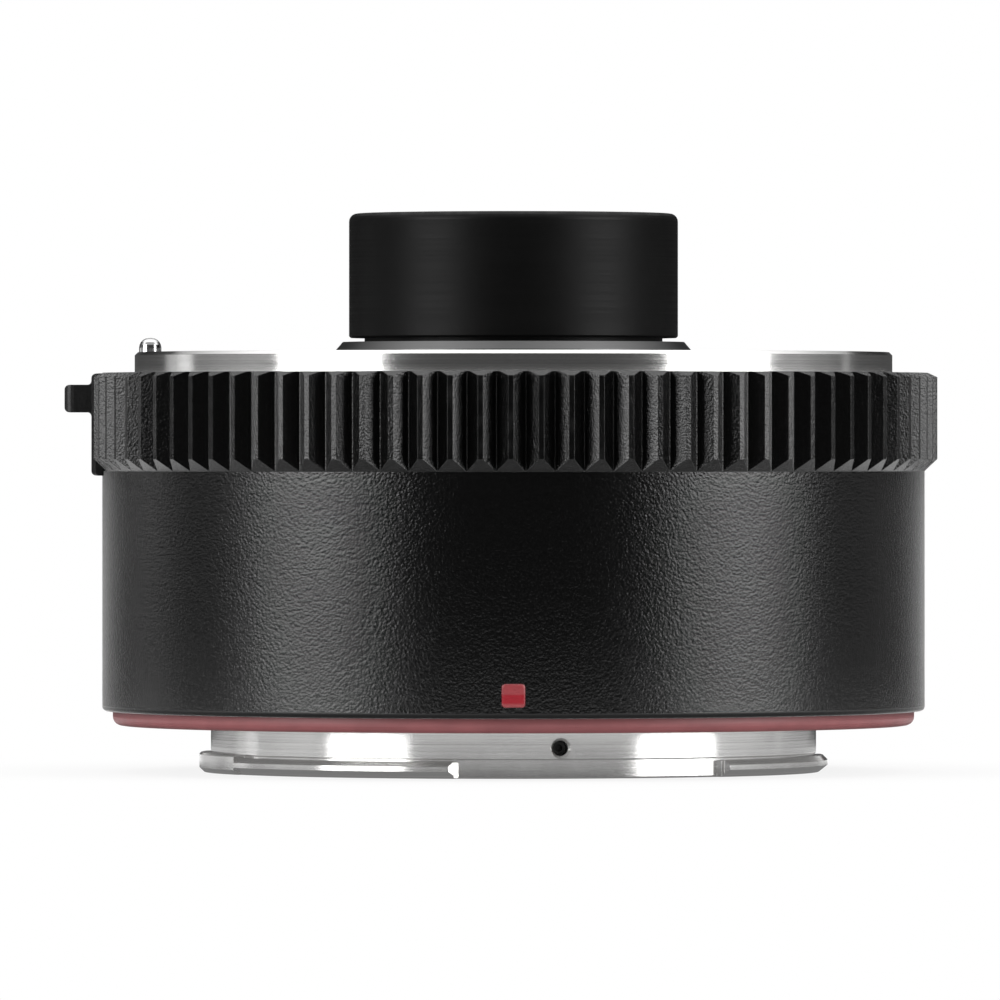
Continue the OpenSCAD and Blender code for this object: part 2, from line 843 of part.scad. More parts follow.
module chassis() {
    color("gray")
        difference() {
            union() {
                rotate_extrude()
                    polygon([
                        [rear_cell_r + run, accent_top], [chassis_r, accent_top], [chassis_r, base_top],
                        [tube_r, base_top], [tube_r, deck_under], [chassis_r, deck_under],
                        [chassis_r, rim_top], [lip_in, rim_top], [lip_in, deck_z],
                        [cell_tube_r + run, deck_z], [cell_tube_r + run, tube_step_z],
                        [rear_cell_r + run, tube_step_z]
                    ]);
                for (a = mount_screw_at)
                    at_angle(a, rear_screw_r)
                        rod(boss_r, base_top - edge, board_z);
                for (a = board_screw_at)
                    at_angle(a, board_screw_r)
                        rod(post_r, base_top - edge, board_z);
            }
            at_angle(release_angle)
                block([notch_in, -notch_half, deck_under - slip],
                    [chassis_r + past, notch_half, deck_z + slip]);
            at_angle(release_angle, pin_r)
                rod(pin_clear, deck_z - slip, rim_top + slip);
            at_angle(release_angle, pin_r)
                rod(lock_pin_r + slip - run / 2, accent_top - slip, accent_top + lock_depth);
            sector(contact_angle - block_half - block_play, contact_angle + block_half + block_play,
                block_in - 2 * slip, block_out + 2 * slip, deck_under - slip, deck_z + slip);
            for (a = mount_screw_at) {
                at_angle(a, mount_screw_r)
                    rod(mount_screw[2] + run, deck_under - slip, deck_z + slip);
                at_angle(a, rear_screw_r)
                    rod(rear_screw[2] + run, accent_top - slip, seat_z + rear_screw[3] + 2 * slip);
            }
            for (a = cell_screw_at)
                at_angle(a, cell_screw_r)
                    rod(cell_screw[2] + run, deck_z - cell_screw[3], deck_z + slip);
            for (a = baffle_screw_at)
                at_angle(a, baffle_screw_r)
                    rod(small_screw[2] + run, deck_under - slip, deck_z + slip);
            for (a = board_screw_at)
                at_angle(a, board_screw_r)
                    rod(small_screw[2] + run, base_top - base_bite - slip, board_z + slip);
            for (s = [-1, 1]) {
                at_angle(contact_angle + s * block_screw_at, contact_r)
                    rod(small_screw[2] + run, deck_under - slip, deck_under + deck_bite + slip);
                at_angle(contact_angle + s * rear_block_screw_at, contact_r)
                    rod(small_screw[2] + run, accent_top - slip, base_top + slip);
                at_angle(release_angle)
                    translate([bracket_screw_u, s * bracket_screw_v, 0])
                        rod(small_screw[2] + run, deck_under - slip, deck_under + deck_bite + slip);
            }
            sector(contact_angle - tail_half - tail_play, contact_angle + tail_half + tail_play,
                contact_r - slot_w / 2, contact_r + slot_w / 2, accent_top - slip, base_top + slip);
        }
}

// Lens side

function lug_from(i) = tab_to[i] - lock_turn + lug_play;
function gap_end(i) = i < len(tab_from) - 1 ? tab_from[i + 1] : stop_from + full_turn;
function lug_to(i) = min(gap_end(i) - lock_turn - lug_play, lug_from(i) + lug_most);

module front_mount() {
    color("silver")
        difference() {
            union() {
                rotate_extrude()
                    polygon([
                        [front_throat, deck_z], [spigot_r, deck_z], [spigot_r, grip_top],
                        [front_r, grip_top], [front_r, face_z - face_chamfer], [front_r - face_chamfer, face_z],
                        [front_throat + edge, face_z], [front_throat, face_z - edge]
                    ]);
                for (i = [0 : len(tab_from) - 1])
                    turned(lug_from(i), lug_to(i))
                        polygon([
                            [lug_r, lug_z], [front_throat + overlap, lug_z],
                            [front_throat + overlap, face_z], [lug_r + 2 * edge, face_z],
                            [lug_r, face_z - 2 * edge]
                        ]);
            }
            for (a = mount_screw_at)
                at_angle(a, mount_screw_r)
                    translate([0, 0, face_z - recess])
                        screw_hole(mount_screw);
            at_angle(release_angle, pin_r) {
                rod(lock_pin_r + run, grip_top - slip, face_z + slip);
                rod(pin_clear, deck_z - slip, grip_top);
            }
        }
}

module front_mount_screws() {
    color("gainsboro")
        for (a = mount_screw_at)
            at_angle(a, mount_screw_r)
                translate([0, 0, face_z - recess])
                    screw(mount_screw);
}

module mount_spring() {
    color("lightsteelblue")
        for (i = [0 : len(tab_from) - 1])
            sector(lug_from(i) + 1, lug_to(i) - 1, lug_r + slip, front_throat - slip, lug_z - leaf_t, lug_z);
}

module front_baffle() {
    outer = front_throat - 2 * slip;
    color("dimgray")
        difference() {
            rotate_extrude()
                polygon([
                    [hub_r - hub_wall, deck_z], [outer, deck_z], [outer, floor_z], [hub_r, floor_z],
                    [hub_r, hub_shoulder], [collar_r, collar_low], [neck_r + 2 * slip, collar_low],
                    [neck_r + 2 * slip, collar_low - hub_wall],
                    [hub_r - hub_wall, hub_shoulder - 2 * slip]
                ]);
            sector(contact_angle - block_half - block_play, contact_angle + block_half + block_play,
                block_in - 2 * slip, block_out + 2 * slip, deck_z - slip, floor_z + slip);
            for (a = baffle_screw_at)
                at_angle(a, baffle_screw_r)
                    translate([0, 0, floor_z])
                        screw_hole(small_screw);
        }
}

module front_baffle_screws() {
    color("black")
        for (a = baffle_screw_at)
            at_angle(a, baffle_screw_r)
                translate([0, 0, floor_z])
                    screw(small_screw);
}

module nose_collar() {
    color("slategray")
        rotate_extrude()
            polygon([
                [neck_r + slip, collar_low], [collar_r, collar_low], [collar_r, collar_step],
                [collar_top_r, collar_top], [neck_r + slip, collar_top]
            ]);
}

module snout() {
    lip_low = snout_top - lip_depth;
    mouth = front_glass_r - slip;
    bevel = mouth_bevel;
    color("black")
        rotate_extrude()
            polygon(concat(
                [[neck_r + run, snout_z], [snout_r - edge, snout_z], [snout_r, snout_z + edge]],
                corner([snout_r - snout_round, snout_top - snout_round], snout_round, 0, 90),
                [[mouth + bevel, snout_top], [mouth, snout_top - bevel], [mouth, lip_low],
                 [neck_r + run, lip_low]]));
}

module front_cell() {
    bore_mid = front_glass_r - bore_step;
    cell_top = snout_top - lip_depth - run;
    flange_top = deck_z + cell_flange_t;
    color("dimgray")
        difference() {
            rotate_extrude()
                polygon([
                    [cell_tube_r, cell_low], [cell_tube_r, deck_z], [cell_flange_r, deck_z],
                    [cell_flange_r, flange_top], [neck_r, flange_top], [neck_r, cell_top],
                    [front_glass_r + run, cell_top], [front_glass_r + run, seat_2 - seat_gap],
                    [bore_mid, seat_2 - seat_gap], [bore_mid, seat_3], [middle_glass_r + run, seat_3],
                    [middle_glass_r + run, cell_low]
                ]);
            for (a = cell_screw_at)
                at_angle(a, cell_screw_r)
                    translate([0, 0, flange_top])
                        screw_hole(cell_screw);
        }
}

module front_cell_screws() {
    color("gainsboro")
        for (a = cell_screw_at)
            at_angle(a, cell_screw_r)
                translate([0, 0, deck_z + cell_flange_t])
                    screw(cell_screw);
}

module front_retaining_ring() {
    inner = front_glass_r - ring_w;
    high = snout_top - ring_depth;
    color("dimgray")
        difference() {
            ring(inner, front_glass_r, rim(top_1, c1_front, inner) + seat_gap, high);
            for (a = spanner_at)
                at_angle(a)
                    block([inner - slip, -spanner_w / 2, high - spanner_depth],
                        [front_glass_r + slip, spanner_w / 2, high + slip]);
        }
}

module mid_retaining_ring() {
    color("dimgray")
        ring(middle_glass_r - ring_w, middle_glass_r, cell_low + cell_tail, rim_5 - seat_gap);
}

module rear_cell() {
    flange_r = tube_r + slip;
    flange_low = accent_top - cell_flange_t;
    nose_r = rear_cell_r - nose_step;
    lip_r = rear_glass_r - ring_w;
    color("dimgray")
        rotate_extrude()
            polygon([
                [rear_glass_r + run, rear_cell_low], [nose_r, rear_cell_low], [nose_r, flange_low],
                [flange_r, flange_low], [flange_r, accent_top], [rear_cell_r, accent_top],
                [rear_cell_r, tube_step_z - slip], [lip_r, tube_step_z - slip], [lip_r, seat_6],
                [rear_glass_r + run, seat_6]
            ]);
}

module rear_retaining_ring() {
    inner = rear_glass_r - rear_ring_w;
    color("dimgray")
        ring(inner, rear_glass_r, rear_cell_low + 2 * slip, low_7 + sag(c7_rear, inner) - seat_gap);
}

module lens_spacer_front() {
    inner = middle_glass_r - spacer_w;
    color("dimgray")
        ring(inner, middle_glass_r, rim(top_4, c4_front, inner) + seat_gap, rim_3 - seat_gap);
}

module lens_spacer_rear() {
    inner = rear_glass_r - spacer_w;
    color("dimgray")
        ring(inner, rear_glass_r, rim(top_7, c7_front, inner) + seat_gap, rim_6 - seat_gap);
}

module lens(i) {
    color("lightcyan") {
        if (i == 1)
            bulging(front_glass_r, top_1, c1_front, join_12, c1_rear);
        if (i == 2)
            hollow(front_glass_r, join_12 - cement, c1_rear, low_2, c2_rear);
        if (i == 3)
            hollow(middle_glass_r, top_3, c3_front, low_3, c3_rear);
        if (i == 4)
            bulging(middle_glass_r, top_4, c4_front, join_45, c4_rear);
        if (i == 5)
            hollow(middle_glass_r, join_45 - cement, c4_rear, low_5, c5_rear);
        if (i == 6)
            hollow(rear_glass_r, top_6, c6_front, low_6, c6_rear);
        if (i == 7)
            bulging(rear_glass_r, top_7, c7_front, low_7, c7_rear);
    }
}

// Contacts and board

module front_contact_block() {
    color("dimgray")
        difference() {
            union() {
                sector(contact_angle - block_half, contact_angle + block_half, block_in, block_out,
                    deck_under - edge, block_top);
                sector(contact_angle - wing_half, contact_angle + wing_half, wing_in, wing_out,
                    block_low, deck_under);
            }
            for (i = [1 : contact_count])
                at_angle(contact_at(i), contact_r) {
                    rod(tip_r + run, tip_shoulder - slip, block_top + slip);
                    rod(well_r, block_low - slip, tip_shoulder + run);
                }
            for (s = [-1, 1])
                at_angle(contact_angle + s * block_screw_at, contact_r)
                    rod(small_screw[2] + run, block_low - slip, deck_under + slip);
        }
}

module contact_block_screws() {
    color("gainsboro")
        for (s = [-1, 1]) {
            at_angle(contact_angle + s * block_screw_at, contact_r) {
                rod(small_screw[2], block_low - edge, deck_under + deck_bite);
                rod(small_screw[0], block_low - cap_h, block_low);
            }
            at_angle(contact_angle + s * rear_block_screw_at, contact_r) {
                rod(small_screw[2], accent_top - deck_bite - 2 * slip, base_top + edge);
                rod(small_screw[0], base_top, base_top + cap_h);
            }
        }
}

module contact_pin(i) {
    dome = tip_r;
    color("gold")
        at_angle(contact_at(i), contact_r) {
            rod(head_r, head_low, tip_shoulder);
            rod(tip_r, tip_shoulder - edge, tip_top - dome / 2);
            intersection() {
                rod(tip_r, tip_top - dome, tip_top);
                translate([0, 0, tip_top - 1.25 * dome])
                    sphere(r = 1.25 * dome);
            }
        }
}

module contact_springs() {
    color("silver")
        for (i = [1 : contact_count])
            at_angle(contact_at(i), contact_r)
                coil(pin_coil_r, pin_wire_r, block_low, head_low, pin_coil_turns, 8, 4);
}

module front_flex() {
    tail_in = wing_out - tail_inset;
    color("orange") {
        sector(contact_angle - block_half + flex_margin, contact_angle + block_half - flex_margin, block_in,
            wing_out - tail_t, block_low - flex_t, block_low);
        sector(contact_angle - tail_half, contact_angle + tail_half, tail_in, tail_in + tail_t,
            board_z + board_t, block_low - flex_t / 2);
    }
}

module rear_flex() {
    color("orange")
        sector(contact_angle - tail_half, contact_angle + tail_half, contact_r - tail_t / 2,
            contact_r + tail_t / 2, accent_top, board_z);
}

module main_board() {
    color("darkgreen")
        difference() {
            sector(board_from, board_to, board_in, board_out, board_z, board_z + board_t);
            for (a = board_screw_at)
                at_angle(a, board_screw_r)
                    rod(small_screw[2] + run, board_z - slip, board_z + board_t + slip);
        }
}

// One square processor, two small chips and the sockets of both flexible circuits
module board_chips() {
    chip_low = board_z + board_t;
    color("dimgray")
        for (p = chips)
            at_angle(p[0], board_mid + p[1])
                block([-p[2] / 2, -p[2] / 2, chip_low], [p[2] / 2, p[2] / 2, chip_low + p[3]]);
}

module board_screws() {
    color("gainsboro")
        for (a = board_screw_at)
            at_angle(a, board_screw_r) {
                rod(small_screw[2], base_top - base_bite, board_z + board_t + edge);
                rod(small_screw[0], board_z + board_t, board_z + board_t + cap_h);
            }
}

// Release

module release_slider() {
    color("black") {
        turned(release_angle - plate_half, release_angle + plate_half)
            polygon(concat(
                [[plate_in, plate_low]],
                corner([plate_out - plate_round, plate_low + plate_round], plate_round, -90, 0),
                corner([plate_out - plate_round, plate_top - plate_round], plate_round, 0, 90),
                [[plate_in, plate_top]]));
        intersection() {
            turned(release_angle - plate_half, release_angle + plate_half)
                knob_profile();
            at_angle(release_angle)
                translate([0, 0, plate_low])
                    linear_extrude(height = plate_top - plate_low)
                        knob_plan();
        }
        difference() {
            at_angle(release_angle)
                block([carriage_out, -stem_half, stem_low], [plate_in + plate_bite, stem_half, stem_top]);
            release_screw_holes();
        }
    }
}

module knob_profile() {
    high = knob_low + knob_h;
    polygon(concat(
        [[plate_out - overlap, knob_low - knob_fillet]],
        corner([plate_out + knob_fillet, knob_low - knob_fillet], knob_fillet, 180, 90),
        corner([knob_reach - knob_round, knob_low + knob_round], knob_round, -90, 0),
        corner([knob_reach - knob_round, high - knob_round], knob_round, 0, 90),
        corner([plate_out + knob_fillet, high + knob_fillet], knob_fillet, -90, -180),
        [[plate_out - overlap, high + knob_fillet]]));
}

module knob_plan() {
    half = knob_reach * sin(knob_half);
    polygon(concat(
        [[plate_in + edge, -half]],
        corner([knob_reach - knob_end, -half + knob_end], knob_end, -90, 0),
        corner([knob_reach - knob_end, half - knob_end], knob_end, 0, 90),
        [[plate_in + edge, half]]));
}

module release_screw_holes() {
    for (s = [-1, 1])
        at_angle(release_angle)
            translate([0, s * release_screw_v, release_screw_z])
                rotate([0, quarter, 0]) {
                    rod(release_screw_r + run, carriage_in - slip, release_screw_end + slip);
                    rod(release_head_r + run, carriage_in - slip, carriage_in + release_head_t);
                }
}

module release_carriage() {
    color("slategray")
        difference() {
            at_angle(release_angle)
                block([carriage_in, -carriage_half, carriage_low],
                    [carriage_out, carriage_half, carriage_top]);
            at_angle(release_angle, pin_r)
                rod(lock_pin_r + run / 2, pin_low, carriage_top + slip);
            release_screw_holes();
        }
}

module lock_pin() {
    top = face_z + pin_rise;
    color("silver")
        at_angle(release_angle, pin_r)
            rotate_extrude()
                polygon(concat(
                    [[0, pin_low], [lock_pin_r, pin_low]],
                    corner([lock_pin_r - pin_round, top - pin_round], pin_round, 0, 90),
                    [[0, top]]));
}

module release_screws() {
    color("gainsboro")
        for (s = [-1, 1])
            at_angle(release_angle)
                translate([0, s * release_screw_v, release_screw_z])
                    rotate([0, quarter, 0]) {
                        rod(release_screw_r, carriage_in + edge, release_screw_end);
                        rod(release_head_r, carriage_in + run, carriage_in + release_head_t);
                    }
}

module release_bracket() {
    color("slategray")
        difference() {
            at_angle(release_angle)
                union() {
                    for (s = [-1, 1])
                        translate([0, s * (bracket_leg + bracket_t / 2) - bracket_t / 2, 0])
                            block([bracket_in, 0, bracket_low], [bracket_out, bracket_t, deck_under]);
                    block([bracket_in, -bracket_leg - bracket_t, bracket_low],
                        [bracket_out, bracket_leg + bracket_t, shelf_top]);
                    for (s = [-1, 1])
                        translate([0, s * (bracket_leg + bracket_wing) / 2, 0])
                            block([bracket_in, (bracket_leg - bracket_wing) / 2, deck_under - bracket_t],
                                [bracket_out, (bracket_wing - bracket_leg) / 2, deck_under]);
                    translate([pin_r, 0, 0])
                        rod(guide_r, shelf_top - edge, shelf_top + guide_h);
                }
            for (s = [-1, 1])
                at_angle(release_angle)
                    translate([bracket_screw_u, s * bracket_screw_v, 0])
                        rod(small_screw[2] + run, deck_under - bracket_t - slip, deck_under + slip);
        }
}

module bracket_screws() {
    color("gainsboro")
        for (s = [-1, 1])
            at_angle(release_angle)
                translate([bracket_screw_u, s * bracket_screw_v, 0]) {
                    rod(small_screw[2], deck_under - bracket_t - edge, deck_under + deck_bite);
                    rod(small_screw[0], deck_under - bracket_t - cap_h, deck_under - bracket_t);
                }
}

module release_spring() {
    color("silver")
        at_angle(release_angle, pin_r)
            coil(coil_r, wire_r, shelf_top, carriage_low, coil_turns, 12, 6);
}

rear_mount();
rear_mount_screws();
rear_baffle();
baffle_grub_screws();
rear_contact_block();
rear_contact_pads();
accent_ring();
barrel();
index_bead();
grip_ring();
chassis();
front_mount();
front_mount_screws();
mount_spring();
front_baffle();
front_baffle_screws();
nose_collar();
front_contact_block();
contact_block_screws();
contact_springs();
front_flex();
rear_flex();
main_board();
board_chips();
board_screws();
front_cell();
front_cell_screws();
snout();
front_retaining_ring();
mid_retaining_ring();
rear_cell();
rear_retaining_ring();
lens_spacer_front();
lens_spacer_rear();
release_bracket();
bracket_screws();
release_spring();
release_slider();
release_carriage();
lock_pin();
release_screws();
for (i = [1 : len(lens_names)])
    lens(i);
for (i = [1 : contact_count])
    contact_pin(i);
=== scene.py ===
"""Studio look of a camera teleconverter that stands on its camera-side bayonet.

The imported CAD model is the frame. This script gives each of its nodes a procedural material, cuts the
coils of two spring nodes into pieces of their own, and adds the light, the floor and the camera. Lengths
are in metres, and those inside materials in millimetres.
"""

import json
import math

import bmesh
import bpy
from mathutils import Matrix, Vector

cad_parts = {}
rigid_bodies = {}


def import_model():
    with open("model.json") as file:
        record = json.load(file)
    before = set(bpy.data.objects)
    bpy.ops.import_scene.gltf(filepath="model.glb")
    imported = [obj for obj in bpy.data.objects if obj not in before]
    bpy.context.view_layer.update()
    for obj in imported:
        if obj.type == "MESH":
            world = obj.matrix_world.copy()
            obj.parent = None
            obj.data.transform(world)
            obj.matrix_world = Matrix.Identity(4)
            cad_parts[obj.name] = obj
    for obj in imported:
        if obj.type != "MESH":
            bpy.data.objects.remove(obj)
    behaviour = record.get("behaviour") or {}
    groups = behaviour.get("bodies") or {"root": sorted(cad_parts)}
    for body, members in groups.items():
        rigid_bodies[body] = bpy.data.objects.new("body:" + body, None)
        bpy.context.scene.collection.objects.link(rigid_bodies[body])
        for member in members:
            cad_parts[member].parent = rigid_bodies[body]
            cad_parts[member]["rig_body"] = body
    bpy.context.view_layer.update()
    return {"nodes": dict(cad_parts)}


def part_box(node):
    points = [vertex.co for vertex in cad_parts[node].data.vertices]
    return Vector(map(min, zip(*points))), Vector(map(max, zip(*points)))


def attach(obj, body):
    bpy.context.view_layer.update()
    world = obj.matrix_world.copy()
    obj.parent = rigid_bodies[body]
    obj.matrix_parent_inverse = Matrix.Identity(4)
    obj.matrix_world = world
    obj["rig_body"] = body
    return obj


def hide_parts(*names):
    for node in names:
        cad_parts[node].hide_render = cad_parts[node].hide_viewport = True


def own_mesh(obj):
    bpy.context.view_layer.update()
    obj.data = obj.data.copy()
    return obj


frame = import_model()
nodes = frame["nodes"]
scene = bpy.context.scene
scene.view_settings.view_transform = "Standard"

MM = 0.001

# Places that materials use, in millimetres
SNOUT_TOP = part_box("snout")[1].z / MM
SNOUT_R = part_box("snout")[1].x / MM
GRIP_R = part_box("grip_ring")[1].x / MM
BARREL_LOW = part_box("barrel")[0].z / MM
ACCENT_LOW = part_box("accent_ring")[0].z / MM
BEAD_Z = sum(corner.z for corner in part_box("index_bead")) / 2 / MM

# Pitch of the baffles' anti-glare rings, in millimetres
RING_PITCH = 0.5

# The most that a normal leans where a turned mesh closes round the axis
SEAM_LEAN = math.sin(math.radians(3.0))

# The photograph: pixels of its frame, and where its camera stands
IMAGE_PX = 1000
AXIS_X_PX = 513.5
HORIZON_Y_PX = 440
PX_PER_M = 11459
CAMERA_AWAY = 1.15
CAMERA_UP = 0.0289
SENSOR_MM = 36.0

# Springs: how far a coil reaches from its middle
CONTACT_REACH = 1.0 * MM
RELEASE_REACH = 2.0 * MM

# The room that metal mirrors: grey from the camera's side to the far side, and its strength with height
WALLS = (
    (0.0, 0.11),
    (0.3, 0.16),
    (0.47, 0.62),
    (0.55, 0.56),
    (0.65, 0.38),
    (0.75, 0.22),
    (0.85, 0.12),
    (1.0, 0.075),
)
RISE = ((0.0, 1.0), (0.1, 0.9), (0.2, 0.3), (0.45, 0.5), (0.7, 2.8))
LAMP_AIM = Vector((0.0, 0.0, 0.02))

FLOOR_HALF = 6.0
FLOOR_DROP = 0.02 * MM


# Node trees


def grey(value):
    return (value, value, value)


def shade(colour, factor):
    return tuple(min(1.0, channel * factor) for channel in colour)


def socket_name(key):
    return key.replace("_", " ").title().replace("Ior", "IOR")


class Graph:
    """A node tree, with short ways to add nodes and to link them."""

    def __init__(self, tree):
        self.tree = tree

    def add(self, kind, settings=(), **inputs):
        node = self.tree.nodes.new(kind)
        for key, value in dict(settings).items():
            setattr(node, key, value)
        for key, value in inputs.items():
            self.put(node.inputs[socket_name(key)], value)
        return node

    def put(self, socket, value):
        if isinstance(value, bpy.types.NodeSocket):
            self.tree.links.new(value, socket)
        else:
            socket.default_value = value

    def math(self, operation, *values):
        node = self.add("ShaderNodeMath", {"operation": operation})
        for socket, value in zip(node.inputs, values):
            self.put(socket, value)
        return node.outputs[0]

    def vector(self, operation, *vectors):
        node = self.add("ShaderNodeVectorMath", {"operation": operation})
        for socket, value in zip(node.inputs, vectors):
            self.put(socket, value)
        return node.outputs["Value" if operation in ("DOT_PRODUCT", "LENGTH") else "Vector"]

    def scaled(self, vector, factor):
        node = self.add("ShaderNodeVectorMath", {"operation": "SCALE"}, vector=vector, scale=factor)
        return node.outputs[0]

    def span(self, value, low, high, to_low=0.0, to_high=1.0, smooth=False):
        """The value between low and high, mapped to another range and held at its ends."""
        node = self.add(
            "ShaderNodeMapRange",
            {"interpolation_type": "SMOOTHSTEP" if smooth else "LINEAR"},
            value=value,
            from_min=low,
            from_max=high,
            to_min=to_low,
            to_max=to_high,
        )
        return node.outputs[0]

    def ramp(self, place, stops):
        """Grey values that ease from stop to stop."""
        node = self.add("ShaderNodeValToRGB", fac=place)
        node.color_ramp.interpolation = "EASE"
        elements = node.color_ramp.elements
        while len(elements) < len(stops):
            elements.new(1.0)
        for element, (position, value) in zip(elements, stops):
            element.position = position
            element.color = (*grey(value), 1.0)
        return node.outputs[0]

    def mixed(self, share, first, second):
        """The first shader, with a share of the second."""
        node = self.add("ShaderNodeMixShader", fac=share)
        self.put(node.inputs[1], first)
        self.put(node.inputs[2], second)
        return node.outputs[0]

    def seen(self):
        """1 for what the camera sees, by itself or through glass."""
        path = self.add("ShaderNodeLightPath").outputs
        return self.math("MAXIMUM", path["Is Camera Ray"], path["Is Transmission Ray"])


class Finish(Graph):
    """A material around one Principled shader, with short ways to add the nodes that vary it."""

    def __init__(self, name, colour, roughness, metallic=0.0, **sockets):
        self.material = bpy.data.materials.new(name)
        self.material.use_nodes = True
        super().__init__(self.material.node_tree)
        self.shader = self.tree.nodes["Principled BSDF"]
        self.shader.inputs["Base Color"].default_value = (*colour, 1.0)
        self.shader.inputs["Roughness"].default_value = roughness
        self.shader.inputs["Metallic"].default_value = metallic
        for key, value in sockets.items():
            self.shader.inputs[socket_name(key)].default_value = value
        self.place = self.scaled(self.add("ShaderNodeTexCoord").outputs["Object"], 1.0 / MM)

    def xyz(self):
        return self.add("ShaderNodeSeparateXYZ", vector=self.place).outputs

    def height(self):
        return self.xyz()["Z"]

    def radius(self):
        """Distance from the axis."""
        x, y, _ = self.xyz()
        return self.math("SQRT", self.math("ADD", self.math("MULTIPLY", x, x), self.math("MULTIPLY", y, y)))

    def turned(self):
        """Distance from the axis and height, so that a pattern on them runs round like marks of a lathe."""
        return self.add("ShaderNodeCombineXYZ", x=self.radius(), z=self.height()).outputs[0]

    def noise(self, scale, detail, vector=None, distortion=0.0):
        inputs = {"scale": scale, "detail": detail, "distortion": distortion}
        return self.add("ShaderNodeTexNoise", vector=vector or self.place, **inputs).outputs[0]

    def spread(self, noise, low=0.0, high=1.0):
        """Noise, most of which lies between 0.3 and 0.7, mapped to another range."""
        return self.span(noise, 0.3, 0.7, low, high)

    def cells(self, scale, vector=None, feature="SMOOTH_F1"):
        place = vector or self.place
        node = self.add("ShaderNodeTexVoronoi", {"feature": feature}, vector=place, scale=scale)
        return node.outputs["Distance"]

    def blend(self, share, first, second):
        """The first colour, with a share of the second."""
        node = self.add("ShaderNodeMix", {"data_type": "RGBA"}, factor=share)
        for socket, colour in ((node.inputs[6], first), (node.inputs[7], second)):
            self.put(socket, colour if isinstance(colour, bpy.types.NodeSocket) else (*colour, 1.0))
        return node.outputs[2]

    def bump(self, height, depth, under):
        """Relief of that depth in millimetres, laid over the normals under it."""
        node = self.add("ShaderNodeBump", height=height, distance=depth * MM, strength=1.0, normal=under)
        return node.outputs[0]

    def soft_edges(self, radius):
        """Normals that round each sharp edge by that radius in millimetres."""
        return self.add("ShaderNodeBevel", {"samples": 4}, radius=radius * MM).outputs[0]

    def turned_edges(self, radius):
        """The same for a turned piece, without the slight lean of its normals where the mesh closes."""
        normal = self.soft_edges(radius)
        around = self.vector("NORMALIZE", self.vector("CROSS_PRODUCT", (0.0, 0.0, 1.0), self.place))
        lean = self.vector("DOT_PRODUCT", normal, around)
        slight = self.math("LESS_THAN", self.math("ABSOLUTE", lean), SEAM_LEAN)
        return self.vector("SUBTRACT", normal, self.scaled(around, self.math("MULTIPLY", lean, slight)))

    def use(self, colour=None, roughness=None, normal=None):
        for socket, value in (("Base Color", colour), ("Roughness", roughness), ("Normal", normal)):
            if value is not None:
                self.put(self.shader.inputs[socket], value)
        return self

    def on(self, *names):
        for name in names:
            slots = nodes[name].data.materials
            slots.clear()
            slots.append(self.material)


# Kinds of finish


def turned_metal(name, colour, roughness, line_depth, anisotropy):
    """Lathe-turned metal: fine rings, and gloss that is drawn out across them."""
    metal = Finish(name, colour, roughness, 1.0, anisotropic=anisotropy, anisotropic_rotation=0.25)
    tangent = metal.add("ShaderNodeTangent", {"direction_type": "RADIAL", "axis": "Z"})
    metal.put(metal.shader.inputs["Tangent"], tangent.outputs[0])
    rings = metal.noise(9.0, 4.0, metal.turned())
    smudges = metal.span(metal.noise(0.22, 3.0), 0.35, 0.75, 0.0, 0.06)
    rough = metal.math("ADD", metal.spread(rings, roughness - 0.03, roughness + 0.03), smudges)
    tone = metal.blend(metal.spread(rings), shade(colour, 0.9), shade(colour, 1.06))
    return metal.use(tone, rough, metal.bump(rings, line_depth, metal.turned_edges(0.05)))


def plain_metal(name, colour, roughness, scale=6.0, depth=0.002, edge=0.04):
    """Metal with fine drawn marks and a few dull patches."""
    metal = Finish(name, colour, roughness, 1.0)
    marks = metal.noise(scale, 4.0, distortion=0.6)
    patches = metal.noise(0.9, 2.0)
    dull = metal.span(patches, 0.4, 0.8, 0.0, 0.08)
    rough = metal.math("ADD", metal.spread(marks, roughness - 0.05, roughness + 0.06), dull)
    tone = metal.blend(metal.spread(patches), shade(colour, 0.88), colour)
    return metal.use(tone, rough, metal.bump(marks, depth, metal.soft_edges(edge)))


def moulded(name, colour, roughness, scale, depth, edge=0.06):
    """Moulded plastic with a fine spark-eroded grain."""
    plastic = Finish(name, colour, roughness)
    grain = plastic.noise(scale, 3.0)
    tone = plastic.blend(plastic.spread(plastic.noise(0.3, 3.0)), shade(colour, 0.8), shade(colour, 1.25))
    rough = plastic.spread(grain, roughness - 0.06, roughness + 0.08)
    return plastic.use(tone, rough, plastic.bump(grain, depth, plastic.soft_edges(edge)))


def grained_paint(name, roughness, size, depth, sheen, turned=False):
    """Black paint with a leather-like grain. Gives the finish and its parts, for wear to be added to them."""
    colour = grey(0.0005)
    paint = Finish(name, colour, roughness, specular_ior_level=0.6, sheen_weight=sheen, sheen_roughness=0.25)
    drift = paint.add("ShaderNodeTexNoise", vector=paint.place, scale=1.6, detail=2.0).outputs["Color"]
    pebbles = paint.cells(1.0 / size, paint.vector("MULTIPLY_ADD", drift, (0.35, 0.35, 0.35), paint.place))
    fine = paint.noise(2.2 / size, 3.0)
    relief = paint.math("ADD", paint.math("MULTIPLY", pebbles, -0.75), paint.math("MULTIPLY", fine, 0.5))
    tone = paint.blend(paint.span(pebbles, 0.25, 0.6), shade(colour, 1.15), shade(colour, 0.6))
    rough = paint.spread(fine, roughness - 0.05, roughness + 0.06)
    edges = paint.turned_edges(0.06) if turned else paint.soft_edges(0.06)
    return paint, tone, rough, paint.bump(relief, depth, edges)


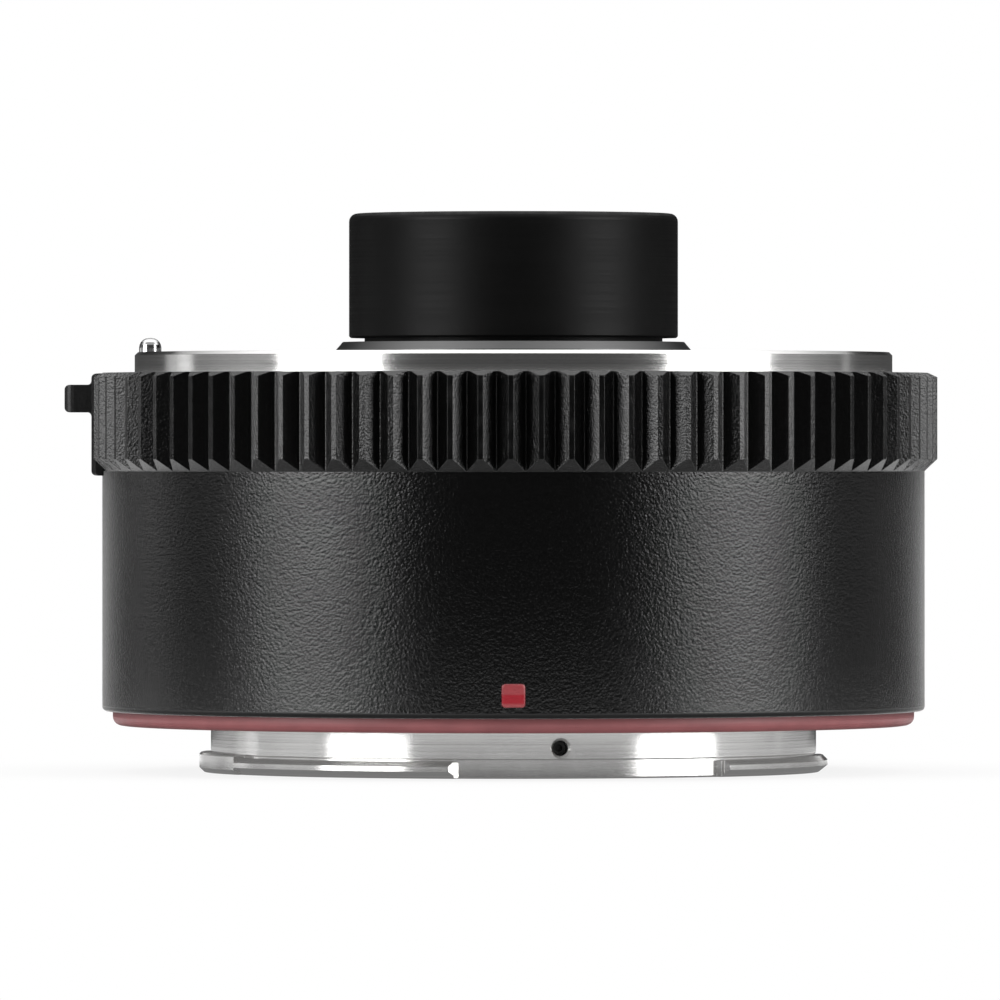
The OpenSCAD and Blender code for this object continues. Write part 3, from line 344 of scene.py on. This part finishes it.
def anodised(name, colour, roughness, line_depth, worn_lit_edge=None):
    """Satin black anodised metal with the marks of turning. An edge, given by its radius and height, gets
    lighter worn patches that also paint its highlight.
    """
    metal = Finish(name, colour, roughness, specular_ior_level=0.16)
    rings = metal.noise(7.0, 4.0, metal.turned())
    tone = metal.blend(metal.spread(metal.noise(0.25, 3.0)), shade(colour, 0.8), shade(colour, 1.2))
    # Lighter patches along the outer top edge: partly wear, partly a painted highlight of its rounding
    if worn_lit_edge:
        edge_r, edge_z = worn_lit_edge
        outside = metal.span(metal.radius(), edge_r - 0.7, edge_r - 0.4)
        near = metal.math("MULTIPLY", outside, metal.span(metal.height(), edge_z - 0.35, edge_z - 0.05))
        wear_and_highlight = metal.math("MULTIPLY", near, metal.span(metal.noise(0.9, 3.0), 0.4, 0.7))
        tone = metal.blend(metal.math("MULTIPLY", wear_and_highlight, 0.5), tone, grey(0.05))
    rough = metal.spread(rings, roughness - 0.05, roughness + 0.07)
    lines = metal.bump(rings, line_depth, metal.turned_edges(0.06))
    return metal.use(tone, rough, metal.bump(metal.noise(12.0, 2.0), 0.003, lines))


# Bayonet, lens-side mount, collar and chassis
turned_metal("mount_steel", (0.92, 0.915, 0.905), roughness=0.17, line_depth=0.003, anisotropy=0.75).on(
    "rear_mount", "front_mount"
)
turned_metal("collar_grey", grey(0.14), roughness=0.34, line_depth=0.003, anisotropy=0.4).on("nose_collar")
turned_metal("chassis_alloy", (0.1, 0.1, 0.105), roughness=0.42, line_depth=0.004, anisotropy=0.3).on(
    "chassis"
)

# Fasteners, springs, the lock and the contacts
plain_metal("fastener_steel", grey(0.6), roughness=0.28).on(
    "rear_mount_screws",
    "front_mount_screws",
    "contact_block_screws",
    "board_screws",
    "front_cell_screws",
    "bracket_screws",
    "release_screws",
)
plain_metal("fastener_black", grey(0.045), roughness=0.4).on("baffle_grub_screws", "front_baffle_screws")
plain_metal("spring_steel", grey(0.56), roughness=0.25).on(
    "mount_spring", "contact_springs", "release_spring"
)
plain_metal("plate_steel", grey(0.45), roughness=0.36).on("release_bracket", "release_carriage")
plain_metal("pin_steel", grey(0.76), roughness=0.1, scale=10.0, depth=0.0008).on("lock_pin")
plain_metal("contact_gold", (0.83, 0.58, 0.24), roughness=0.22, scale=8.0, depth=0.0012, edge=0.03).on(
    "rear_contact_pads", *(name for name in nodes if name.startswith("contact_pin_"))
)

# Barrel: its rounded lower edge is matt
paint, tone, rough, relief = grained_paint(
    "barrel_black", roughness=0.18, size=0.22, depth=0.034, sheen=1.0, turned=True
)
matt_edge = paint.span(paint.height(), BARREL_LOW + 0.5, BARREL_LOW + 0.3, 0.0, 0.7)
paint.use(tone, paint.math("ADD", rough, matt_edge), relief).on("barrel")

# Grip ring: the crests of its ribs are worn smooth in places
paint, tone, rough, relief = grained_paint("grip_black", roughness=0.16, size=0.16, depth=0.025, sheen=0.4)
crest = paint.span(paint.radius(), GRIP_R - 0.12, GRIP_R - 0.02)
worn = paint.math("MULTIPLY", crest, paint.span(paint.noise(0.7, 3.0), 0.42, 0.68))
rough = paint.math("SUBTRACT", rough, paint.math("MULTIPLY", worn, 0.08))
paint.use(paint.blend(worn, tone, grey(0.008)), rough, relief).on("grip_ring")

# Accent ring: bead-blasted and red anodised, with painted shade along its top where the barrel overhangs it
red = Finish("accent_red", (0.26, 0.08, 0.085), 0.42)
blast = red.noise(9.0, 3.0)
tone = red.blend(red.spread(red.noise(0.5, 3.0)), (0.25, 0.076, 0.081), (0.3, 0.092, 0.098))
# Painted shade: the top of the ring is darker where the barrel overhangs it
painted_shade_below_barrel = red.span(red.height(), ACCENT_LOW + 0.75, ACCENT_LOW + 1.2)
red.use(
    red.blend(painted_shade_below_barrel, tone, (0.2, 0.056, 0.06)),
    red.spread(blast, 0.36, 0.5),
    red.bump(blast, 0.006, red.turned_edges(0.08)),
).on("accent_ring")

# Index bead: clear-coated red enamel, with painted shade in a band across its lower half
red = Finish("bead_red", (0.42, 0.012, 0.028), 0.28, coat_weight=1.0, coat_roughness=0.08)
level = red.math("SUBTRACT", red.height(), BEAD_Z)
# Painted shade: the lower half faces away from the light above, so a band there is darker
painted_shade_band = red.math("MULTIPLY", red.span(level, -0.75, -0.6), red.span(level, 0.15, 0.02))
enamel = red.blend(red.spread(red.noise(1.2, 2.0)), (0.29, 0.045, 0.052), (0.33, 0.052, 0.06))
dome = red.bump(red.noise(2.5, 2.0), 0.004, red.soft_edges(0.3))
red.put(red.shader.inputs["Coat Normal"], dome)
red.use(red.blend(painted_shade_band, enamel, (0.31, 0.012, 0.022)), normal=dome).on("index_bead")

# Snout, cells and their rings
# The snout's top edge is lighter in worn patches, which also paint its highlight
anodised("snout_black", grey(0.0022), 0.44, line_depth=0.0016, worn_lit_edge=(SNOUT_R, SNOUT_TOP)).on("snout")
anodised("cell_black", grey(0.010), 0.45, line_depth=0.006).on(
    "front_cell",
    "rear_cell",
    "front_retaining_ring",
    "mid_retaining_ring",
    "rear_retaining_ring",
    "lens_spacer_front",
    "lens_spacer_rear",
)

# Baffles: matt black with fine anti-glare rings
black = Finish("baffle_black", grey(0.008), 0.7)
rings = black.math("SINE", black.math("MULTIPLY", black.radius(), 2 * math.pi / RING_PITCH))
specks = black.noise(9.0, 3.0)
black.use(
    black.blend(black.spread(black.noise(0.3, 3.0)), grey(0.006), grey(0.011)),
    black.spread(specks, 0.62, 0.8),
    black.bump(specks, 0.01, black.bump(rings, 0.03, black.soft_edges(0.06))),
).on("front_baffle", "rear_baffle")

# Moulded pieces and flexible circuits
moulded("release_black", grey(0.004), 0.4, scale=6.0, depth=0.006, edge=0.12).on("release_slider")
moulded("block_black", grey(0.016), 0.5, scale=7.0, depth=0.005).on(
    "front_contact_block", "rear_contact_block"
)
moulded("chip_black", grey(0.02), 0.55, scale=9.0, depth=0.004).on("board_chips")
moulded("flex_amber", (0.45, 0.2, 0.045), 0.38, scale=3.0, depth=0.003).on("front_flex", "rear_flex")

# Circuit board: green mask over copper tracks
green = Finish("board_green", (0.02, 0.11, 0.05), 0.4)
beside_tracks = green.span(green.cells(0.55, feature="DISTANCE_TO_EDGE"), 0.03, 0.09)
green.use(
    green.blend(beside_tracks, (0.05, 0.2, 0.07), (0.016, 0.09, 0.04)),
    green.spread(green.noise(2.0, 2.0), 0.34, 0.46),
    green.bump(beside_tracks, 0.02, green.soft_edges(0.05)),
).on("main_board")

# Lenses: coated glass
glass = Finish(
    "lens_glass",
    (0.97, 0.99, 0.98),
    0.0,
    transmission_weight=1.0,
    ior=1.62,
    thin_film_thickness=420.0,
    thin_film_ior=1.38,
)
haze = glass.span(glass.noise(0.4, 3.0), 0.5, 0.8, 0.0, 0.02)
glass.use(roughness=haze).on(*(f"lens_{number}" for number in range(1, 8)))


# Springs


def coil(name, node, centre, reach):
    """The coil of a spring node that lies round a point, as a piece of its own on the spring's body; the node
    is hidden.
    """
    mesh = nodes[node].data.copy()
    shape = bmesh.new()
    shape.from_mesh(mesh)
    others = [face for face in shape.faces if (face.calc_center_median() - centre).xy.length > reach]
    bmesh.ops.delete(shape, geom=others, context="FACES")
    shape.to_mesh(mesh)
    shape.free()
    made = bpy.data.objects.new(name, mesh)
    scene.collection.objects.link(made)
    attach(made, nodes[node]["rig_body"])
    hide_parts(node)
    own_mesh(made)


def middle(node):
    low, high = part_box(node)
    return (low + high) / 2


coil("release_coil", "release_spring", middle("release_spring"), RELEASE_REACH)
for number in range(1, 12):
    pin = middle(f"contact_pin_{number}")
    coil(f"contact_coil_{number}", "contact_springs", pin, CONTACT_REACH)


# Stage


def camera():
    """A level camera, shifted so that the axis and the horizon fall where the photograph has them."""
    data = bpy.data.cameras.new("camera")
    data.sensor_width = SENSOR_MM
    data.lens = SENSOR_MM * PX_PER_M * CAMERA_AWAY / IMAGE_PX
    data.shift_x = 0.5 - AXIS_X_PX / IMAGE_PX
    data.shift_y = HORIZON_Y_PX / IMAGE_PX - 0.5
    data.clip_start = 0.01
    data.clip_end = 50.0
    made = bpy.data.objects.new("camera", data)
    made.location = (0.0, -CAMERA_AWAY, CAMERA_UP)
    made.rotation_euler = (math.radians(90), 0.0, 0.0)
    scene.collection.objects.link(made)
    scene.camera = made


def softbox(name, bearing, lift, distance, width, height, radiance):
    """A soft area light that faces the object. The bearing is from the camera's side, towards its right."""
    data = bpy.data.lights.new(name, "AREA")
    data.shape = "RECTANGLE"
    data.size, data.size_y = width, height
    data.energy = radiance * math.pi * width * height
    made = bpy.data.objects.new(name, data)
    turn, rise = math.radians(bearing), math.radians(lift)
    away = Vector((math.sin(turn) * math.cos(rise), -math.cos(turn) * math.cos(rise), math.sin(rise)))
    made.location = LAMP_AIM + away * distance
    made.rotation_euler = away.to_track_quat("Z", "Y").to_euler()
    made.visible_camera = False
    scene.collection.objects.link(made)


def studio():
    """Two tall softboxes in front, one above, and small cards behind that the ends of the steel mirror."""
    softbox("softbox_left", bearing=-57, lift=8, distance=0.9, width=0.54, height=1.0, radiance=4.8)
    softbox("softbox_right", bearing=64.3, lift=8, distance=0.9, width=0.55, height=1.0, radiance=4.8)
    softbox("card_left", bearing=-117, lift=1.5, distance=0.9, width=0.13, height=0.12, radiance=1.0)
    softbox("card_left_back", bearing=-125.3, lift=1.5, distance=0.9, width=0.13, height=0.12, radiance=0.45)
    softbox("card_right", bearing=119.5, lift=1.5, distance=0.9, width=0.07, height=0.16, radiance=0.25)
    softbox("softbox_top", bearing=180, lift=66, distance=1.0, width=1.4, height=1.4, radiance=0.5)


def world():
    """White to the camera. To everything else a dim room, lighter along the horizon and above."""
    made = bpy.data.worlds.new("studio")
    scene.world = made
    made.use_nodes = True
    made.node_tree.nodes.clear()
    graph = Graph(made.node_tree)
    direction = graph.add("ShaderNodeTexCoord").outputs["Generated"]
    _, towards_far, up = graph.add("ShaderNodeSeparateXYZ", vector=direction).outputs
    walls = graph.ramp(graph.span(towards_far, -1.0, 1.0), WALLS)
    room = graph.add("ShaderNodeBackground", color=walls, strength=graph.ramp(up, RISE)).outputs[0]
    white = graph.add("ShaderNodeBackground", color=(1.0, 1.0, 1.0, 1.0)).outputs[0]
    graph.add("ShaderNodeOutputWorld", surface=graph.mixed(graph.seen(), room, white))


def floor_paper():
    """Pale paper that fades to white away from the object. To glossy rays it glows as a bright pool, a
    painted reflection, kept dim close round the object as painted shade.
    """
    material = bpy.data.materials.new("floor_paper")
    material.use_nodes = True
    material.node_tree.nodes.clear()
    graph = Graph(material.node_tree)
    away = graph.vector("LENGTH", graph.add("ShaderNodeTexCoord").outputs["Object"])

    def fade(near, far, low, high):
        return graph.span(away, near, far, low, high, smooth=True)

    paper = graph.add("ShaderNodeBsdfDiffuse", color=(*grey(0.86), 1.0)).outputs[0]
    white = graph.add("ShaderNodeEmission").outputs[0]
    share = graph.math("MULTIPLY", graph.seen(), fade(near=0.027, far=0.062, low=0.85, high=1.0))
    # Glow for glossy rays only: a painted reflection, dim close round the object as painted shade, fading far
    # off
    pool_with_painted_shade = fade(near=0.036, far=0.054, low=0.2, high=1.2)
    outer = fade(near=0.058, far=0.115, low=1.0, high=0.02)
    painted_reflection_pool = graph.add("ShaderNodeEmission", strength=graph.math("MULTIPLY", pool_with_painted_shade, outer)).outputs[0]
    glossy = graph.add("ShaderNodeLightPath").outputs["Is Glossy Ray"]
    surface = graph.mixed(glossy, graph.mixed(share, paper, white), painted_reflection_pool)
    graph.add("ShaderNodeOutputMaterial", surface=surface)
    return material


def floor():
    """A table that keeps the object's shadow."""
    corners = [(x * FLOOR_HALF, y * FLOOR_HALF, 0) for x, y in ((-1, -1), (1, -1), (1, 1), (-1, 1))]
    mesh = bpy.data.meshes.new("floor")
    mesh.from_pydata(corners, [], [(0, 1, 2, 3)])
    mesh.materials.append(floor_paper())
    made = bpy.data.objects.new("floor", mesh)
    made.location.z = -FLOOR_DROP
    scene.collection.objects.link(made)


camera()
studio()
world()
floor()
